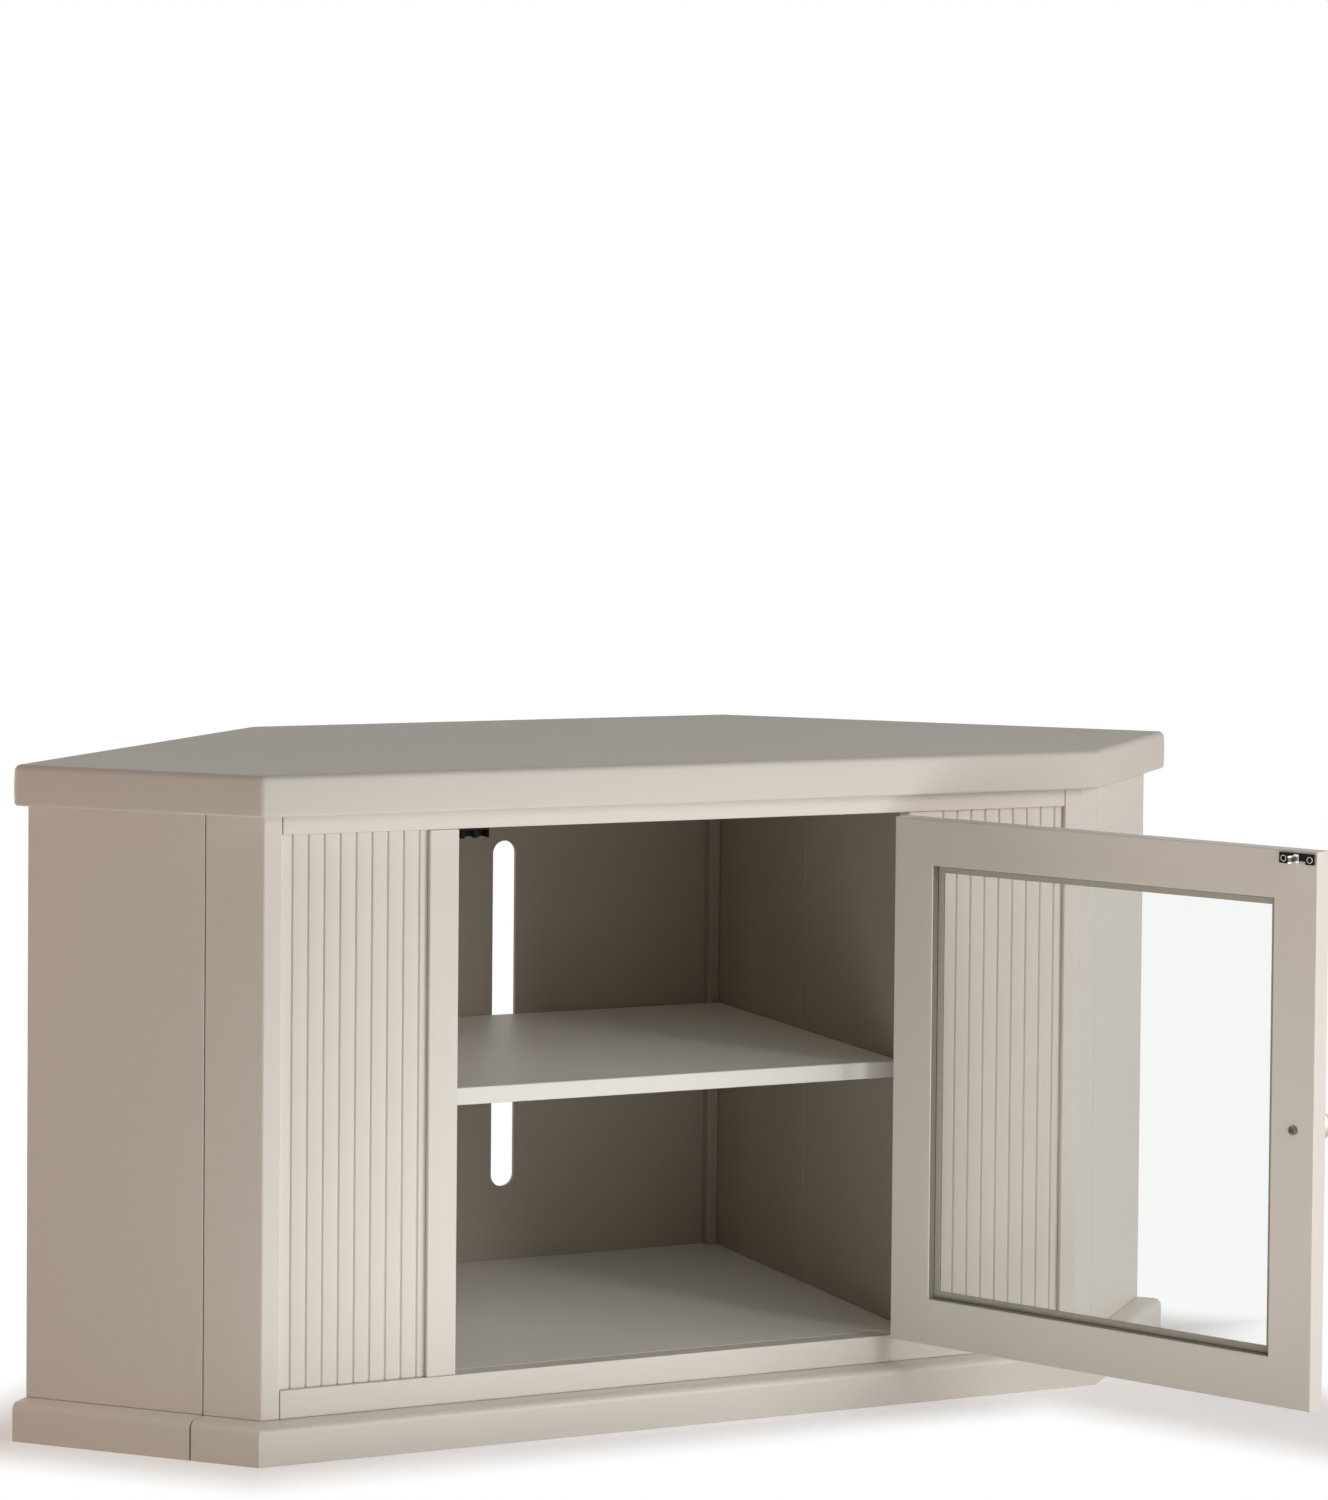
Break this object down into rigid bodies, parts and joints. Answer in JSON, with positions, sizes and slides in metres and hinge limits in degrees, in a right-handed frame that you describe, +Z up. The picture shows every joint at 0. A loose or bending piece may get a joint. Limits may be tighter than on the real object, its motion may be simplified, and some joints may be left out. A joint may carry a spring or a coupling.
{
  "type": "corner media cabinet",
  "caption": "Low corner media cabinet with flared sides, grooved front panels, a framed glass door, an inner shelf and a slotted back.",
  "frame": {"origin": "on the floor, under the middle of the cabinet's straight front face", "axes": "+X to the cabinet's right as seen from its front, +Y from the front to the corner of the room, +Z up"},
  "size_m": [1.195, 0.9118, 0.61],
  "materials": {
    "ivory_paint": "satin sprayed ivory paint over solid wood and board",
    "inner_paint": "thinner satin ivory paint on the inner and wall boards",
    "clear_glass": "clear float glass",
    "nickel": "dull nickel plate",
    "black_steel": "blackened pressed steel",
    "black_nylon": "black moulded nylon"
  },
  "bodies": {
    "case": {"top_slab": "ivory_paint", "base_front": "ivory_paint", "base_side_left": "ivory_paint", "base_side_right": "ivory_paint", "base_wall_rail_left": "inner_paint", "base_wall_rail_right": "inner_paint", "base_back_rail": "inner_paint", "post_left": "ivory_paint", "post_right": "ivory_paint", "side_panel_left": "ivory_paint", "side_panel_right": "ivory_paint", "wall_panel_left": "inner_paint", "wall_panel_right": "inner_paint", "corner_block_left": "inner_paint", "corner_block_right": "inner_paint", "back_panel": "inner_paint", "floor_panel": "inner_paint", "header_rail": "ivory_paint", "bottom_rail": "ivory_paint", "beadboard_left": "ivory_paint", "beadboard_right": "ivory_paint", "jamb_left": "ivory_paint", "jamb_right": "ivory_paint", "divider_front_left": "inner_paint", "divider_front_right": "inner_paint", "divider_rear_left": "inner_paint", "divider_rear_right": "inner_paint", "front_stretcher": "inner_paint", "rear_stretcher": "inner_paint", "back_batten_left": "inner_paint", "back_batten_right": "inner_paint", "shelf": "inner_paint", "shelf_pin_front_left": "nickel", "shelf_pin_front_right": "nickel", "shelf_pin_rear_left": "nickel", "shelf_pin_rear_right": "nickel", "catch_body": "black_steel", "hinge_top_jamb_leaf": "nickel", "hinge_top_pin": "nickel", "hinge_bottom_jamb_leaf": "nickel", "hinge_bottom_pin": "nickel"},
    "door": {"door_hinge_stile": "ivory_paint", "door_free_stile": "ivory_paint", "door_top_rail": "ivory_paint", "door_bottom_rail": "ivory_paint", "door_glass": "clear_glass", "glass_bead_hinge_side": "ivory_paint", "glass_bead_free_side": "ivory_paint", "glass_bead_bottom": "ivory_paint", "glass_bead_top": "ivory_paint", "door_knob": "nickel", "knob_screw": "nickel", "strike_plate": "black_steel", "hinge_top_door_leaf": "nickel", "hinge_bottom_door_leaf": "nickel"},
    "left_jaw": {"catch_jaw_left": "black_steel"},
    "right_jaw": {"catch_jaw_right": "black_steel"},
    "left_roller": {"catch_roller_left": "black_nylon"},
    "right_roller": {"catch_roller_right": "black_nylon"}
  },
  "joints": [
    {"name": "door_swing", "type": "hinge", "parent": "case", "child": "door", "pos_m": [0.22612, -0.0055, 0.3078], "axis": [0, 0, 1], "range_deg": [-117.5, 57.5]},
    {"name": "left_jaw_slide", "type": "slide", "parent": "case", "child": "left_jaw", "axis": [-1, 0, 0], "range_m": [0, 0.002], "stiffness_N_per_m": 400},
    {"name": "right_jaw_slide", "type": "slide", "parent": "case", "child": "right_jaw", "axis": [1, 0, 0], "range_m": [0, 0.002], "stiffness_N_per_m": 400},
    {"name": "left_roller_spin", "type": "hinge", "parent": "left_jaw", "child": "left_roller", "pos_m": [-0.21185, 0.032, 0.5477], "axis": [0, 0, 1], "continuous": true},
    {"name": "right_roller_spin", "type": "hinge", "parent": "right_jaw", "child": "right_roller", "pos_m": [-0.19925, 0.032, 0.5477], "axis": [0, 0, 1], "continuous": true}
  ]
}
